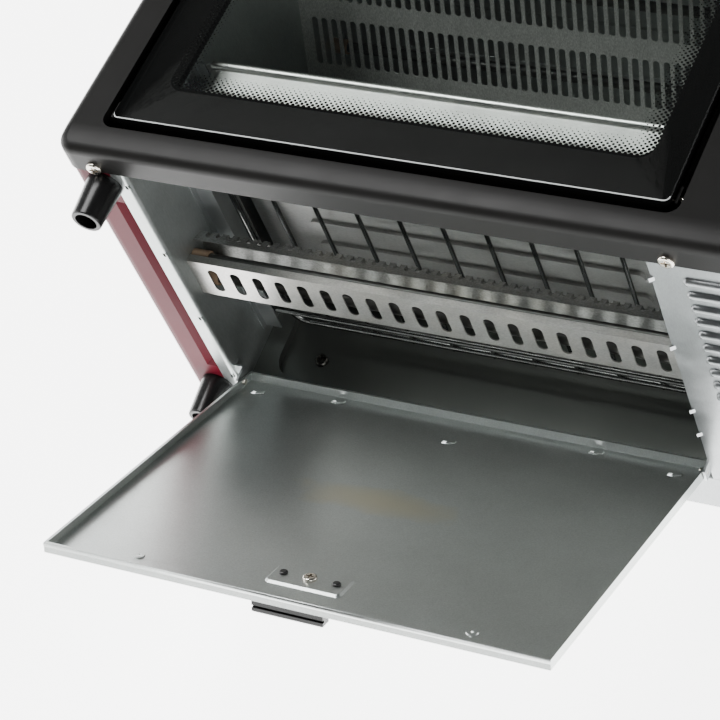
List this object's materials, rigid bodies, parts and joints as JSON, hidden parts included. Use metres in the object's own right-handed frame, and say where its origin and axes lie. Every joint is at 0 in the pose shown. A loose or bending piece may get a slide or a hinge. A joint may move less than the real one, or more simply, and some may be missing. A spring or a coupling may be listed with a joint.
{
  "type": "mini oven",
  "caption": "Countertop mini oven laid on its back, with a swung-down crumb door in its base, a glass front door, turning controls, rack and tray.",
  "frame": {"origin": "centre of the back panel's outer face, on which the oven lies in its cleaning pose", "axes": "+X to the oven's own right seen from its front, +Y to its top (the feet point to -Y), +Z out of its front"},
  "size_m": [0.484, 0.4624, 0.3076],
  "materials": {
    "red_enamel": "satin stove enamel",
    "satin_black": "satin powder coat",
    "gloss_black": "gloss",
    "dark_zinc": "zinc coated sheet",
    "rubber": "matt",
    "zinc": "galvanised, soft spangle",
    "crumb_zinc": "galvanised, soft spangle with a worn patch",
    "dark_enamel": "smoked enamel",
    "nickel": "nickel plated",
    "heater_steel": "sheathed rod",
    "ceramic": "glazed ceramic",
    "bright_steel": "bright satin",
    "copper": "drawn copper",
    "rack_wire": "plated wire",
    "tray_steel": "pressed sheet",
    "pale_plastic": "moulded",
    "amber_lens": "clear amber",
    "foot_plastic": "moulded, slight gloss",
    "door_glass": "toughened with printed border",
    "handle_black": "satin moulded",
    "black_plastic": "moulded",
    "knob_black": "satin moulded"
  },
  "bodies": {
    "casing": {"outer_cover": "red_enamel", "front_frame": "satin_black", "control_fascia": "gloss_black", "back_panel": "dark_zinc", "cord_grommet": "rubber", "rear_base_strip": "zinc", "left_cavity_wall": "zinc", "right_cavity_wall": "zinc", "cavity_ceiling": "zinc", "cavity_rear_wall": "dark_enamel", "rear_spacers": "zinc", "rear_wall_screws": "nickel", "louvred_base_panel": "zinc", "heat_shield": "zinc", "lower_heating_rods": "heater_steel", "upper_heating_rods": "heater_steel", "element_insulators": "ceramic", "lower_guard": "bright_steel", "lower_guard_roof": "bright_steel", "upper_guard": "bright_steel", "thermostat_bulb": "copper", "shelf_rails": "zinc", "wire_rack": "rack_wire", "baking_tray": "tray_steel", "thermostat_unit": "pale_plastic", "selector_unit": "pale_plastic", "timer_unit": "zinc", "pilot_lamp": "amber_lens", "terminal_block": "pale_plastic", "feet": "foot_plastic", "foot_screws": "nickel", "frame_screws": "nickel", "cover_screws": "nickel", "door_hinge_plates": "satin_black", "crumb_hinge_brackets": "zinc"},
    "glass_door": {"door_glass": "door_glass", "door_frame": "satin_black", "door_pivot_pins": "nickel", "door_handle": "handle_black", "handle_posts": "handle_black", "handle_screws": "nickel"},
    "crumb_door": {"crumb_door_tray": "crumb_zinc", "crumb_catch": "black_plastic", "crumb_catch_screw": "nickel", "crumb_pivot_pins": "nickel"},
    "thermostat_control": {"thermostat_knob": "knob_black", "thermostat_shaft": "pale_plastic"},
    "selector_control": {"selector_knob": "knob_black", "selector_shaft": "pale_plastic"},
    "timer_control": {"timer_knob": "knob_black", "timer_shaft": "pale_plastic"}
  },
  "joints": [
    {"name": "glass_door_hinge", "type": "hinge", "parent": "casing", "child": "glass_door", "pos_m": [0, -0.09679, 0.27565], "axis": [1, 0, 0], "range_deg": [0, 95]},
    {"name": "crumb_door_hinge", "type": "hinge", "parent": "casing", "child": "crumb_door", "pos_m": [0, -0.1318, 0.0498], "axis": [1, 0, 0], "range_deg": [-57, 0]},
    {"name": "thermostat_turn", "type": "hinge", "parent": "casing", "child": "thermostat_control", "pos_m": [0.1965, 0.06815, 0.26774], "axis": [0, -0.0872, -0.9962], "range_deg": [0, 280]},
    {"name": "selector_turn", "type": "hinge", "parent": "casing", "child": "selector_control", "pos_m": [0.1965, 0.00041, 0.27367], "axis": [0, -0.0872, -0.9962], "range_deg": [0, 270]},
    {"name": "timer_turn", "type": "hinge", "parent": "casing", "child": "timer_control", "pos_m": [0.1965, -0.06733, 0.2796], "axis": [0, -0.0872, -0.9962], "range_deg": [0, 300]}
  ]
}
